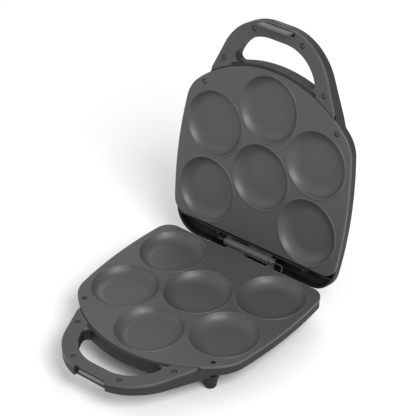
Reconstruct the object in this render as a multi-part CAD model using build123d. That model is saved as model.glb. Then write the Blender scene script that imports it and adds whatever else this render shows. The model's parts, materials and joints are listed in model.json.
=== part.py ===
from build123d import *
import math
import os

os.makedirs("parts", exist_ok=True)

ON_END = (Align.CENTER, Align.CENTER, Align.MIN)   # a cylinder stands on its end

# ---------------------------------------------------------------- driving dimensions, mm
# Working frame: X to the right, Y to the rear (hinge), Z up.  Z = 0 is the top face of the
# base plate and Y = 0 is the centre of the middle well.  Everything is moved to the part's
# own origin, under the open appliance, when it is written.

# overall
FLOOR_DROP = 44.0          # base plate face above the table
HALF_WIDTH = 122.2         # widest half width of the body
NOSE_Y = -130.0            # front of the plates
REAR_Y = 84.5              # rear edge of the plates
BOW_FRONT_Y = -184.4       # front of the handles
LID_REAR_Y = 108.0         # rear edge of the lid, behind the hinge
LID_OPEN = 102.1           # degrees the lid stands open
PLATE_GAP = 1.6            # between the two plate faces when shut

# body outline
NOSE_FLATNESS = 28.0       # front edge's radius beyond half the width
NOSE_R = HALF_WIDTH + NOSE_FLATNESS
FLANK_R = 500.0            # bow of each side
FLANK_Y = 10.0             # widest point of the body
SHOULDER_R = 42.0          # front corners
REAR_R = 18.0              # rear corners of plates and base
LID_REAR_R = 32.0          # rear corners of the lid

# handle bows
BOW_ROOT_X = 88.5          # where a bow's outer side meets the body
BOW_ROOT_Y = -103.0
BOW_LEAN = 22.7            # degrees that each side leans in
BOW_R = 66.0               # outer corner radius
BOW_WIDTH = 18.2           # width of the grip seen from above
BOW_DEPTH = 13.0           # thickness of one grip at the front
BOW_ROOT_DEPTH = 18.0      # thickness of one grip at its root
GRIP_CORNER_R = 6.0        # corners of the finger opening beside the body
COVER_T = 3.0              # handle cover
COVER_BEVEL = 0.6          # flat on the handle cover's upper edges
COVER_GAP = 0.6            # slot between plate and handle cover
SEAM_X = 59.0              # where the handle covers end beside the finger opening
COVER_TIP_X = 86.5         # where the handle covers end at the body's shoulder
FRONT_WALL = 2.9           # body wall between plate slot and finger opening
SEAM_LAP = 0.05            # front wall's top runs on past the finger opening's edge by this
SEAM_GAP = 0.15            # between the front wall's top and the handle cover

# wells and plates
PITCH = 84.0               # centre to centre of neighbouring wells
WELL_R = 39.0              # rim radius
WELL_FLOOR_R = 24.0        # radius of the flat floor
WELL_DEPTH = 9.0
WELL_SKIN = 1.9            # side wall of a well under its rim
BEAD_R = 41.7              # outside of the raised rim bead
BEAD_H = 0.6
PLATE_T = 3.0
PLATE_EDGE_R = 1.1

# housings
WALL = 2.4
RIM_INSET = 0.8            # housing rim inside the plate edge
RIM_TOP = 4.2              # rim below the plate face
RIM_FOOT = 12.6            # lower edge of the rim band
DOME_INSET = 1.6           # step at the rim band's lower edge
DOME_CENTRE_Y = -14.0
DOME_STEPS = ((0.905, 19.5), (0.765, 26.0), (0.54, 30.0))   # outline scale, depth
DOME_SKIN = 0.022          # outline scale taken off for the inner face
BOSS_R = 3.6

# hinge
HINGE_Y = 94.8
KNUCKLE_R = 5.25
KNOB_R = 4.4
PIN_R = 2.5
PIN_PLAY = 0.05            # radial, a running fit
KNUCKLE_END_GAP = 0.4
KNUCKLE_STOPS = (-36.0, -30.0, -3.0, 30.0, 36.0)
FLANGE_T = 2.0
FLANGE_HALF = 45.0
WEB_T = 3.4
PARTITION_Y = 86.2         # front face of the lid's wall ahead of the hinge channel

PIN_END = 0.8              # pin beyond the last knuckle
PIN_BORE_R = 1.75          # way for the lid's lead
KNOB_L = 8.0               # a knuckle shorter than this is a knob
FLANGE_LID_Z = 11.4        # lid bracket's screws above the lid plate's face
FLANGE_LID_HALF = 3.4
PARTITION_HALF = 82.0
LEDGE_Z = 1.4              # lid ledge's edge above the lid plate's face
LEAD_X = 49.0

# latch
LUG_T = 3.0
LATCH_HALF = 20.5
LATCH_GAP = 1.0            # behind the lid handle's outer skin, and at its ends
LATCH_SKIN = 1.0           # lid handle wall outside the latch
LATCH_T = 2.0
LATCH_DROP = 15.0          # below the lid's parting face
LATCH_PIN_Z = 6.2          # above the lid's parting face
LATCH_PIN_R = 1.25
LATCH_BARREL_R = 2.6
LATCH_SWING = 6.0          # degrees from clear to engaged
HOOK_REACH = 1.5           # nib beyond the latch's inner face
HOOK_TOP = 3.6             # nib's catching edge below the base plate face
HOOK_LOW = 8.0
NOTCH_HALF = 22.0
NOTCH_DEPTH = 4.6          # the base handle cover's edge, which the nib catches under
CATCH_UNDERCUT = 1.6
LEDGE_HIGH = 5.4
LEDGE_LOW = 9.6
LEDGE_FOOT = 4.3           # ledge's lower edge behind the grip's front
THUMB_HALF = 14.0
THUMB_LOW = 5.2
THUMB_HIGH = 10.2

# fasteners
SCREW_HEAD_R = 2.6
SCREW_HEAD_H = 1.5
SCREW_SHANK_R = 1.3
SCREW_LENGTH = 8.0
SCREW_SLOT = 0.7
COUNTERBORE_R = 3.3
COUNTERBORE_D = 1.6
HANDLE_SCREW_INSET = 12.8   # front pair behind the handle's front
HANDLE_SCREWS = (
    (-70.5, -124.7), (-33.5, BOW_FRONT_Y + HANDLE_SCREW_INSET),
    (33.5, BOW_FRONT_Y + HANDLE_SCREW_INSET), (70.5, -124.7),
)
PLATE_SCREWS = ((-94.0, -87.5), (94.0, -87.5))
SHIELD_SCREWS = ((-50.0, -88.0), (50.0, -88.0), (-96.0, 0.0), (96.0, 0.0), (-34.0, 62.0), (34.0, 62.0))
HINGE_SCREW_X = (-40.0, 0.0, 40.0)

# heater, shield and wiring
HEATER_R = 3.3
HEATER_Z = 8.2
HEATER_TAIL_X = 16.0
HEATER_TAIL_Y = 68.0
HEATER_TAIL_L = 10.0
HEATER_BEND_R = 20.0
TAIL_BEND_R = 10.0
HEATER_PIN_R = 1.2
HEATER_PIN_L = 7.0
SHIELD_T = 0.8
SHIELD_Z = 15.0
SHIELD_SCALE = 0.84
POST_R = 3.0               # shield posts that hold the heater up
LUG_R = 2.0                # plate lugs that the heater bears on
THERMOSTAT_Y = 61.0
THERMOSTAT_R = 7.0
THERMOSTAT_H = 6.0
FUSE_Y = 73.0
FUSE_R = 2.0
FUSE_L = 14.0
TERMINAL_X = 20.0
TERMINAL_Y = 24.0
TERMINAL_L = 26.0
TERMINAL_W = 12.0
TERMINAL_H = 8.0
LEAD_R = 1.0
LEAD_ROOM = 0.7            # between a lead and the shield it passes

# feet and inlet
FOOT_X = 82.0
FOOT_FRONT_Y = -79.0
FOOT_REAR_Y = 72.0
FOOT_TOP_R = 9.2
FOOT_END_R = 6.6
FOOT_BOSS_R = 10.4
FOOT_RECESS_R = SCREW_HEAD_R + 0.6
FOOT_TOP_Z = 29.4
FOOT_PAD_T = 3.0
FOOT_PAD_PROUD = 0.8
FOOT_PAD_R = 5.2
FOOT_END_ROUND = 2.0
GLAND_X = -52.0
GLAND_R = 6.5
GLAND_BORE_R = 3.6
GLAND_Z = 23.5
GLAND_WALL = 2.0
GLAND_REAR_Y = 84.0
GLAND_FRONT_Y = 44.0
GLAND_FLANGE_T = 2.0

# lamps on the lid
LENS_R = 3.4
LENS_X = 9.0
LENS_Y = -96.0
LENS_FLANGE_R = 4.4
LENS_FLANGE_T = 1.0
LAMP_R = 2.2
LAMP_L = 9.0
PANEL_HALF_X = 17.0
PANEL_HALF_Y = 7.5
PANEL_Z = 29.2

# ---------------------------------------------------------------- derived
HINGE_Z = PLATE_GAP / 2
NOSE_CENTRE_Y = NOSE_Y + NOSE_R
PITCH_X = PITCH * math.cos(math.radians(30))
WELLS = (
    (0.0, 0.0), (0.0, -PITCH), (PITCH_X, PITCH / 2), (PITCH_X, -PITCH / 2),
    (-PITCH_X, PITCH / 2), (-PITCH_X, -PITCH / 2),
)
HINGE_AXIS = Axis((0, HINGE_Y, HINGE_Z), (1, 0, 0))
MIRROR_PLANE = Plane.XY.offset(HINGE_Z)
SHIELD_REAR_Y = DOME_CENTRE_Y + (REAR_Y - DOME_CENTRE_Y) * SHIELD_SCALE
LATCH_OUTER_Y = BOW_FRONT_Y + LATCH_SKIN + LATCH_GAP
LATCH_INNER_Y = LATCH_OUTER_Y + LATCH_T
LATCH_AXIS_Y = LATCH_OUTER_Y + LATCH_BARREL_R
LATCH_AXIS_Z = PLATE_GAP + LATCH_PIN_Z
LATCH_AXIS = Axis((0, LATCH_AXIS_Y, LATCH_AXIS_Z), (1, 0, 0))


# ---------------------------------------------------------------- outlines
def body_outline(rear_y, rear_r, grow=0.0):
    """Bowed front, slightly bowed sides and straight rear, with rounded corners."""
    shape = Pos(0, NOSE_CENTRE_Y) * Circle(NOSE_R + grow)
    for side in (-1, 1):
        shape &= Pos(side * (HALF_WIDTH - FLANK_R), FLANK_Y) * Rot(0, 0, 90) * Circle(FLANK_R + grow)
    shape &= Pos(0, rear_y + grow - NOSE_R) * Rectangle(4 * HALF_WIDTH, 2 * NOSE_R)
    corners = shape.vertices().sort_by(Axis.Y)
    shape = fillet(corners[:2], SHOULDER_R + grow)
    corners = shape.vertices().sort_by(Axis.Y)
    return fillet(corners[-2:], rear_r + grow)


def plate_outline(grow=0.0):
    return body_outline(REAR_Y, REAR_R, grow)


def bow_side_x(y, inset):
    """Half width of a handle bow at a given Y."""
    lean = math.radians(BOW_LEAN)
    return BOW_ROOT_X + (y - BOW_ROOT_Y) * math.tan(lean) - inset / math.cos(lean)


def bow_outline(inset=0.0):
    """Outside of a handle bow, moved inwards by inset; its rear runs on under the body."""
    front = BOW_FRONT_Y + inset
    rear = BOW_ROOT_Y + 2 * GRIP_CORNER_R
    points = [
        (-bow_side_x(front, inset), front),
        (bow_side_x(front, inset), front),
        (bow_side_x(rear, inset), rear),
        (-bow_side_x(rear, inset), rear),
    ]
    shape = make_face(Polyline(*points, close=True))
    corners = shape.vertices().sort_by(Axis.Y)
    return fillet(corners[:2], BOW_R - inset)


def nose_disc(grow):
    return Pos(0, NOSE_CENTRE_Y) * Circle(NOSE_R + grow)


def grip_opening(grow=0.0):
    """Finger opening between the grip and the body's front wall."""
    shape = bow_outline(BOW_WIDTH - grow) - nose_disc(COVER_GAP + FRONT_WALL - grow)
    corners = shape.vertices().sort_by(Axis.Y)
    return fillet(corners[-2:], GRIP_CORNER_R + grow)


def scaled(shape, factor):
    """The outline scaled about the dome's centre."""
    return Pos(0, DOME_CENTRE_Y * (1 - factor)) * scale(shape, by=factor)


# ---------------------------------------------------------------- small helpers
def column(x, y, radius, z_low, z_high):
    return Pos(x, y, z_low) * Cylinder(radius, z_high - z_low, align=ON_END)


def block(x0, x1, y0, y1, z0, z1):
    return Pos(x0, y0, z0) * Box(x1 - x0, y1 - y0, z1 - z0, align=(Align.MIN, Align.MIN, Align.MIN))


def slab(outline, z_low, z_high):
    return Pos(0, 0, z_low) * extrude(outline, z_high - z_low)


def bar_x(radius, x0, x1, y, z):
    """Round bar along X."""
    return Pos(x0, y, z) * Rot(0, 90, 0) * Cylinder(radius, x1 - x0, align=ON_END)


def bar_y(radius, y0, y1, x, z):
    """Round bar along Y."""
    return Pos(x, y0, z) * Rot(-90, 0, 0) * Cylinder(radius, y1 - y0, align=ON_END)


def prism_x(points, half):
    """Polygon of (y, z) points swept along X from -half to +half."""
    face = make_face(Polyline(*[(0, y, z) for y, z in points], close=True))
    return extrude(face, half, dir=(1, 0, 0), both=True)


def to_lid(shape):
    """Base piece mirrored into the shut lid."""
    return mirror(shape, about=MIRROR_PLANE)


def button_screw(length=SCREW_LENGTH):
    """Screw pointing down, its head's seat at Z = 0, with a cross recess."""
    head = Cylinder(SCREW_HEAD_R, SCREW_HEAD_H, align=ON_END)
    head = fillet(head.edges().sort_by(Axis.Z)[-1], SCREW_HEAD_H * 0.6)
    shank = Pos(0, 0, -length) * Cylinder(SCREW_SHANK_R, length, align=ON_END)
    screw = head + shank
    for turn in (0, 90):
        recess = Rot(0, 0, turn) * Box(SCREW_HEAD_R * 1.2, SCREW_SLOT, SCREW_SLOT)
        screw -= Pos(0, 0, SCREW_HEAD_H) * recess
    return screw


def screws_at(places, seat_z, length=SCREW_LENGTH):
    return [Pos(x, y, seat_z) * button_screw(length) for x, y in places]


# ---------------------------------------------------------------- housings
def dome(rear_y, rear_r, skin):
    """Shallow bowl below the rim band; skin > 0 gives its inner face."""
    top = scaled(body_outline(rear_y, rear_r, -RIM_INSET - DOME_INSET), 1 - skin)
    sections = [Pos(0, 0, -RIM_FOOT + skin) * top]
    for factor, depth in DOME_STEPS:
        lift = WALL if skin else 0
        sections.append(Pos(0, 0, lift - depth) * scaled(body_outline(rear_y, rear_r), factor - skin))
    return loft(sections)


def filled_half(rear_y, rear_r):
    """The whole of a half's outer form without its grip, solid, up to the plate's seat."""
    return slab(body_outline(rear_y, rear_r, -RIM_INSET), -RIM_FOOT, -RIM_TOP) + dome(rear_y, rear_r, 0)


def grip_slope():
    """Space above the sloping bottom of a grip, for trimming it."""
    far = BOW_ROOT_Y + 40
    return prism_x(
        [
            (BOW_FRONT_Y - 5, 5), (BOW_FRONT_Y - 5, -BOW_DEPTH), (BOW_FRONT_Y + BOW_WIDTH, -BOW_DEPTH),
            (BOW_ROOT_Y, -BOW_ROOT_DEPTH), (far, -BOW_ROOT_DEPTH), (far, 5),
        ],
        HALF_WIDTH,
    )


def grip_block():
    """Solid grip below its cover, open in the middle."""
    return slab(bow_outline() - grip_opening(), -BOW_ROOT_DEPTH, -COVER_T) & grip_slope()


def half_shell(rear_y, rear_r):
    """Housing of one half, seen as the base: rim band, bowl and hollow grip, without details."""
    shell = filled_half(rear_y, rear_r) + grip_block()
    strip = nose_disc(COVER_GAP + FRONT_WALL + SEAM_LAP) & (Pos(0, NOSE_Y) * Rectangle(2 * SEAM_X, 60))
    strip &= bow_outline()
    shell += slab(strip, -RIM_FOOT, 0)
    shell -= slab(grip_opening(), -60, 10)
    shell -= slab(nose_disc(COVER_GAP), -COVER_T, 10)
    shell -= slab(body_outline(rear_y, rear_r, -RIM_INSET - WALL), -RIM_FOOT, 10)
    shell -= dome(rear_y, rear_r, DOME_SKIN)
    channel = bow_outline(WALL) - grip_opening(WALL) - nose_disc(COVER_GAP + WALL)
    shell -= slab(channel, -BOW_DEPTH + WALL, 0)
    return shell


def add_pillars(shell, keep):
    """Screw pillars for the handle cover and the plate."""
    for x, y in HANDLE_SCREWS:
        shell += column(x, y, BOSS_R, WALL / 2 - BOW_DEPTH, -COVER_T)
    for x, y in PLATE_SCREWS:
        shell += column(x, y, BOSS_R, -PANEL_Z, -PLATE_T - BEAD_H) & keep
        shell += column(x, y, BOSS_R, -RIM_FOOT, -PLATE_T)
    for x, y in HANDLE_SCREWS + PLATE_SCREWS:
        shell -= column(x, y, SCREW_SHANK_R, -COUNTERBORE_D - SCREW_LENGTH, 0)
    return shell


def base_housing():
    keep = filled_half(REAR_Y, REAR_R)
    shell = add_pillars(half_shell(REAR_Y, REAR_R), keep)
    # solid nose that the latch catches, with its groove and sloping ledge
    lip_y = BOW_FRONT_Y + NOTCH_DEPTH
    nose = block(
        -NOTCH_HALF - WALL, NOTCH_HALF + WALL, BOW_FRONT_Y, lip_y + CATCH_UNDERCUT + WALL,
        -BOW_DEPTH, -COVER_T,
    )
    shell += nose & slab(bow_outline(), -BOW_DEPTH, 0)
    notch = [
        (BOW_FRONT_Y - 2, 1), (lip_y + CATCH_UNDERCUT, 1), (lip_y + CATCH_UNDERCUT, -LEDGE_HIGH),
        (BOW_FRONT_Y + LEDGE_FOOT, -LEDGE_LOW),
        (BOW_FRONT_Y + LEDGE_FOOT, -BOW_ROOT_DEPTH), (BOW_FRONT_Y - 2, -BOW_ROOT_DEPTH),
    ]
    shell -= prism_x(notch, NOTCH_HALF)
    # feet
    for x, y in foot_places():
        shell += column(x, y, FOOT_BOSS_R, -FOOT_TOP_Z, WALL - FOOT_TOP_Z + 3) - keep
        shell += column(x, y, FOOT_RECESS_R + WALL / 2, -FOOT_TOP_Z, -FOOT_TOP_Z / 2) - keep
        shell -= column(x, y, FOOT_RECESS_R, WALL - FOOT_TOP_Z, -FOOT_TOP_Z / 2)
        shell -= column(x, y, SCREW_SHANK_R, -FOOT_TOP_Z - 1, 0)
    # snout for the cord's gland
    shell += bar_y(GLAND_R + GLAND_WALL, GLAND_FRONT_Y, GLAND_REAR_Y, GLAND_X, -GLAND_Z) - keep
    shell -= bar_y(GLAND_R, GLAND_FRONT_Y - 5, GLAND_REAR_Y + 1, GLAND_X, -GLAND_Z)
    # hinge screws and the lead's way out
    wall_y = REAR_Y - RIM_INSET
    for x in HINGE_SCREW_X:
        shell += bar_y(BOSS_R, wall_y - WALL - 4, wall_y - WALL, x, base_flange_z())
        shell -= bar_y(SCREW_SHANK_R, wall_y - SCREW_LENGTH, wall_y + 1, x, base_flange_z())
    shell -= bar_y(LEAD_R + 0.5, wall_y - WALL - 1, wall_y + 1, LEAD_X, base_flange_z())
    return shell


def lid_housing():
    """Lid shell, built as a base half with a longer rear, then mirrored."""
    keep = filled_half(LID_REAR_Y, LID_REAR_R)
    shell = add_pillars(half_shell(LID_REAR_Y, LID_REAR_R), keep)
    partition = block(-HALF_WIDTH, HALF_WIDTH, PARTITION_Y, PARTITION_Y + WALL, -PANEL_Z, -RIM_TOP) & keep
    back_y = PARTITION_Y + WALL
    shell += partition + block(-PARTITION_HALF, PARTITION_HALF, PARTITION_Y, back_y, -RIM_TOP - 2, -LEDGE_Z)
    for x in HINGE_SCREW_X:
        shell += bar_y(BOSS_R, PARTITION_Y - 4, PARTITION_Y, x, lid_flange_z())
        shell -= bar_y(SCREW_SHANK_R, back_y - SCREW_LENGTH, back_y + 1, x, lid_flange_z())
    shell -= bar_y(LEAD_R + 0.5, PARTITION_Y - 1, PARTITION_Y + WALL + 1, -LEAD_X, lid_flange_z())
    # latch pocket, window and pivot lugs
    half = LATCH_HALF + LATCH_GAP
    pocket_y = BOW_FRONT_Y + LATCH_SKIN
    pocket = block(-half, half, pocket_y, pocket_y + 8, -BOW_DEPTH + WALL, 1)
    lug_y = LATCH_AXIS_Y + LATCH_BARREL_R
    lugs = block(-half - LUG_T, half + LUG_T, pocket_y, lug_y, WALL - BOW_DEPTH, -COVER_T)
    shell += lugs & slab(bow_outline(), -BOW_DEPTH, 0)
    shell -= pocket
    shell -= bar_x(LATCH_PIN_R, -half - LUG_T, half + LUG_T, LATCH_AXIS_Y, -LATCH_PIN_Z)
    shell -= block(-THUMB_HALF, THUMB_HALF, BOW_FRONT_Y - 1, pocket_y + 1, -THUMB_HIGH, -THUMB_LOW)
    # lamp panel
    panel = Pos(0, LENS_Y) * RectangleRounded(2 * PANEL_HALF_X, 2 * PANEL_HALF_Y, PANEL_HALF_Y - 0.5)
    shell += slab(panel, -PANEL_Z, -PANEL_Z + 6) - dome(LID_REAR_Y, LID_REAR_R, DOME_SKIN)
    for side in (-1, 1):
        shell -= column(side * LENS_X, LENS_Y, LENS_R, -PANEL_Z - 1, -PANEL_Z + 12)
    return to_lid(shell)


# ---------------------------------------------------------------- handle covers
def handle_cover():
    outline = bow_outline() - grip_opening() - nose_disc(COVER_GAP)
    seam = Pos(0, NOSE_Y) * Rectangle(2 * (SEAM_X + SEAM_GAP), 60)
    outline -= nose_disc(COVER_GAP + FRONT_WALL + SEAM_GAP) & seam
    outline &= Pos(0, BOW_FRONT_Y) * Rectangle(2 * COVER_TIP_X, 200)
    cover = slab(outline, -COVER_T, 0)
    rim = cover.edges().group_by(Axis.Z)[-1]
    cover = chamfer(rim, COVER_BEVEL)
    for x, y in HANDLE_SCREWS:
        cover -= column(x, y, COUNTERBORE_R, -COUNTERBORE_D, 1)
        cover -= column(x, y, SCREW_SHANK_R, -COVER_T, 0)
    return cover


def base_handle_cover():
    lip_y = BOW_FRONT_Y + NOTCH_DEPTH
    return handle_cover() - block(-NOTCH_HALF, NOTCH_HALF, BOW_FRONT_Y - 1, lip_y, -COVER_T, 1)


def lid_handle_cover():
    half = LATCH_HALF + LATCH_GAP
    pocket_y = BOW_FRONT_Y + LATCH_SKIN
    return to_lid(handle_cover() - block(-half, half, pocket_y, LATCH_INNER_Y + 2.4, -COVER_T, 1))


# ---------------------------------------------------------------- cooking plates
def revolved(*edges):
    """Closed (radius, height) profile turned about Z."""
    curve = edges[0]
    for edge in edges[1:]:
        curve += edge
    return revolve(Plane.XZ * make_face(curve), Axis.Z)


def bowl(rim_r, depth, top):
    """Shallow dish form with a flat floor and one arc up to its rim."""
    floor = (WELL_FLOOR_R, -depth)
    return revolved(
        Line((0, -depth), floor),
        TangentArc(floor, (rim_r, 0), tangent=(1, 0)),
        Line((rim_r, 0), (rim_r, top)),
        Line((rim_r, top), (0, top)),
        Line((0, top), (0, -depth)),
    )


def rim_bead():
    middle = (WELL_R + BEAD_R) / 2
    return revolved(
        ThreePointArc((WELL_R, 0), (middle, BEAD_H), (BEAD_R, 0)),
        Line((BEAD_R, 0), (BEAD_R, -1)),
        Line((BEAD_R, -1), (WELL_R - 0.6, -1)),
        Line((WELL_R - 0.6, -1), (WELL_R, 0)),
    )


def cooking_plate():
    plate = slab(plate_outline(), -PLATE_T, 0)
    plate = fillet(plate.edges().group_by(Axis.Z)[-1], PLATE_EDGE_R)
    under = bowl(WELL_R + WELL_SKIN, WELL_DEPTH + PLATE_T, 1) & column(0, 0, PITCH, -PITCH, -PLATE_T / 2)
    dish = bowl(WELL_R, WELL_DEPTH, 2)
    bead = rim_bead() - dish
    for x, y in WELLS:
        plate += Pos(x, y) * under
    for x, y in WELLS:
        plate -= Pos(x, y) * dish
    for x, y in WELLS:
        plate += Pos(x, y) * bead
    for x, y in SHIELD_SCREWS:
        plate += column(x, y, BOSS_R, -SHIELD_Z, -PLATE_T)
        plate -= column(x, y, SCREW_SHANK_R, -SHIELD_Z, -PLATE_T - 2)
    for x, y in heater_rests():
        plate += column(x, y, LUG_R, HEATER_R - HEATER_Z, -PLATE_T)
    for x, y in PLATE_SCREWS:
        plate -= column(x, y, COUNTERBORE_R, -COUNTERBORE_D, 1)
        plate -= column(x, y, SCREW_SHANK_R, -PLATE_T, 0)
    return plate


# ---------------------------------------------------------------- heaters and what controls them
def heater_points():
    """Corners of the heater's route, passing midway between the wells."""
    corner = PITCH / math.sqrt(3)
    half = [(HEATER_TAIL_X, HEATER_TAIL_Y), (HEATER_TAIL_X, HEATER_TAIL_Y - HEATER_TAIL_L)]
    half += [(corner, 0), (corner / 2, -PITCH / 2)]
    return half + [(-x, y) for x, y in reversed(half)]


def heater_rests():
    """Middles of the heater's straight runs."""
    points = heater_points()[1:-1]
    return [((a[0] + b[0]) / 2, (a[1] + b[1]) / 2) for a, b in zip(points, points[1:])]


def heater():
    radii = [TAIL_BEND_R] + [HEATER_BEND_R] * 4 + [TAIL_BEND_R]
    route = Pos(0, 0, -HEATER_Z) * FilletPolyline(*heater_points(), radius=radii)
    return sweep(Plane(origin=route @ 0, z_dir=route % 0) * Circle(HEATER_R), path=route)


def heater_pins():
    return [
        bar_y(HEATER_PIN_R, HEATER_TAIL_Y, HEATER_TAIL_Y + HEATER_PIN_L, side * HEATER_TAIL_X, -HEATER_Z)
        for side in (-1, 1)
    ]


def heat_shield():
    """Sheet under the plate that also holds the heater up against it."""
    outline = scaled(plate_outline(), SHIELD_SCALE)
    sheet = slab(outline, -SHIELD_Z - SHIELD_T, -SHIELD_Z)
    for x, y in heater_rests():
        sheet += column(x, y, POST_R, -SHIELD_Z, -HEATER_Z - HEATER_R)
    for x, y in SHIELD_SCREWS:
        sheet -= column(x, y, SCREW_SHANK_R, -SHIELD_Z - 1, -SHIELD_Z + 1)
    return sheet


def shield_screws():
    return [Pos(x, y, -SHIELD_Z - SHIELD_T) * Rot(180, 0, 0) * button_screw() for x, y in SHIELD_SCREWS]


def thermostat():
    body = column(0, THERMOSTAT_Y, THERMOSTAT_R, -PLATE_T - THERMOSTAT_H, -PLATE_T)
    for side in (-1, 1):
        x = side * 3.5
        low = -PLATE_T - THERMOSTAT_H - 3
        body += block(x - 1.5, x + 1.5, THERMOSTAT_Y - 0.4, THERMOSTAT_Y + 0.4, low, -PLATE_T - 1)
    return body


def thermal_fuse():
    return bar_x(FUSE_R, -FUSE_L / 2, FUSE_L / 2, FUSE_Y, -PLATE_T - FUSE_R)


def terminal_block():
    x0 = TERMINAL_X - TERMINAL_L / 2
    y0 = TERMINAL_Y - TERMINAL_W / 2
    low = WALL - DOME_STEPS[-1][1]
    body = block(x0, x0 + TERMINAL_L, y0, y0 + TERMINAL_W, low, low + TERMINAL_H)
    for k in range(3):
        x = x0 + TERMINAL_L * (k + 0.5) / 3
        body -= bar_y(2.0, y0 - 1, y0 + TERMINAL_W + 1, x, low + TERMINAL_H / 2)
        body -= column(x, TERMINAL_Y, 1.8, low + TERMINAL_H / 2, low + TERMINAL_H + 1)
    return body


def lead(points, radius):
    route = FilletPolyline(*points, radius=radius)
    return sweep(Plane(origin=route @ 0, z_dir=route % 0) * Circle(LEAD_R), path=route)


def terminal_port(k):
    """Where a lead meets the terminal block's rear face."""
    x = TERMINAL_X + TERMINAL_L * ((k + 0.5) / 3 - 0.5)
    return (x, TERMINAL_Y + TERMINAL_W / 2, WALL - DOME_STEPS[-1][1] + TERMINAL_H / 2)


def base_lead():
    """From the terminal block, out through the rear wall and into the hinge pin's bore."""
    wall_y = REAR_Y - RIM_INSET
    x, y, z = terminal_port(2)
    return lead(
        [
            (x, y, z), (x, y + 14, z), (LEAD_X, SHIELD_REAR_Y - 2, -SHIELD_Z - SHIELD_T - LEAD_R - LEAD_ROOM),
            (LEAD_X, wall_y - 9, 2 * LEAD_ROOM - SHIELD_Z), (LEAD_X, wall_y - 7, base_flange_z()),
            (LEAD_X, wall_y + 3, base_flange_z()), (LEAD_X, HINGE_Y, HINGE_Z), (1.0, HINGE_Y, HINGE_Z),
        ],
        [6, 6, 1.5, 1.5, 3, 4],
    )


def heater_links():
    """Two leads from the heater's pins, round the shield's rear edge, to the terminal block."""
    wall_y = REAR_Y - RIM_INSET
    links = []
    for k, side in enumerate((-1, 1)):
        x = side * HEATER_TAIL_X
        end = terminal_port(k)
        links.append(lead(
            [
                (x, HEATER_TAIL_Y + HEATER_PIN_L, -HEATER_Z), (x, wall_y - 6.8, -HEATER_Z),
                (x, wall_y - 6.8, 2 * LEAD_ROOM - SHIELD_Z),
                (x, SHIELD_REAR_Y - 1, -SHIELD_Z - SHIELD_T - LEAD_R - LEAD_ROOM),
                (end[0], end[1] + 12, end[2]), end,
            ],
            [1.5, 1.5, 3, 6],
        ))
    return links


def lid_lead():
    """Seen as the base: from the hinge pin's bore through the partition to a heater pin."""
    pin_y = HEATER_TAIL_Y + HEATER_PIN_L - 2
    return to_lid(lead(
        [
            (-1.0, HINGE_Y, HINGE_Z), (-LEAD_X, HINGE_Y, HINGE_Z), (-LEAD_X, HINGE_Y - 1, lid_flange_z()),
            (-LEAD_X, PARTITION_Y - 6, lid_flange_z()), (-HEATER_TAIL_X - 8, pin_y, -HEATER_Z),
            (-HEATER_TAIL_X - HEATER_PIN_R - 0.2, pin_y, -HEATER_Z),
        ],
        [4, 3, 4, 2],
    ))


# ---------------------------------------------------------------- hinge
def base_flange_z():
    return -(RIM_TOP + RIM_FOOT) / 2


def lid_flange_z():
    """Height of the lid bracket's screws, seen as the base."""
    return -FLANGE_LID_Z


def knuckle(first, bore_r):
    x0 = KNUCKLE_STOPS[first] + KNUCKLE_END_GAP / 2
    x1 = KNUCKLE_STOPS[first + 1] - KNUCKLE_END_GAP / 2
    radius = KNUCKLE_R if x1 - x0 > KNOB_L else KNOB_R
    tube = bar_x(radius, x0, x1, HINGE_Y, HINGE_Z)
    return tube, bar_x(bore_r, x0, x1, HINGE_Y, HINGE_Z), x0, x1


def base_hinge_bracket():
    wall_y = REAR_Y - RIM_INSET
    flange_z = base_flange_z()
    half_h = (RIM_FOOT - RIM_TOP) / 2 - 0.4
    low, high = flange_z - half_h, flange_z + half_h
    bracket = block(-FLANGE_HALF, FLANGE_HALF, wall_y, wall_y + FLANGE_T, low, high)
    for first in (1, 3):
        tube, bore, x0, x1 = knuckle(first, PIN_R)
        web = block(x0, x1, REAR_Y + 0.5, HINGE_Y, flange_z, flange_z + half_h + WEB_T)
        bracket = bracket + web + tube - bore
    for x in HINGE_SCREW_X:
        bracket -= bar_y(SCREW_SHANK_R, wall_y - 1, wall_y + FLANGE_T + 1, x, flange_z)
    return bracket


def lid_hinge_bracket():
    face_y = PARTITION_Y + WALL
    flange_z = 2 * HINGE_Z + FLANGE_LID_Z
    half_h = FLANGE_LID_HALF
    low, high = flange_z - half_h, flange_z + half_h
    bracket = block(-FLANGE_HALF, FLANGE_HALF, face_y, face_y + FLANGE_T, low, high)
    for first in (0, 2):
        tube, bore, x0, x1 = knuckle(first, PIN_R + PIN_PLAY)
        web = block(x0, x1, face_y, HINGE_Y, HINGE_Z + 1.6, HINGE_Z + 1.6 + WEB_T)
        riser = block(x0, x1, face_y, face_y + FLANGE_T, HINGE_Z + 1.6, flange_z)
        bracket = bracket + web + riser + tube - bore
    for x in HINGE_SCREW_X:
        bracket -= bar_y(SCREW_SHANK_R, face_y - 1, face_y + FLANGE_T + 1, x, flange_z)
    return bracket


def hinge_screws(seat_y, z):
    return [Pos(x, seat_y, z) * Rot(-90, 0, 0) * button_screw(SCREW_LENGTH) for x in HINGE_SCREW_X]


def hinge_pin():
    reach = KNUCKLE_STOPS[-1] + PIN_END
    return bar_x(PIN_R, -reach, reach, HINGE_Y, HINGE_Z) - bar_x(PIN_BORE_R, -reach, reach, HINGE_Y, HINGE_Z)


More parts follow.
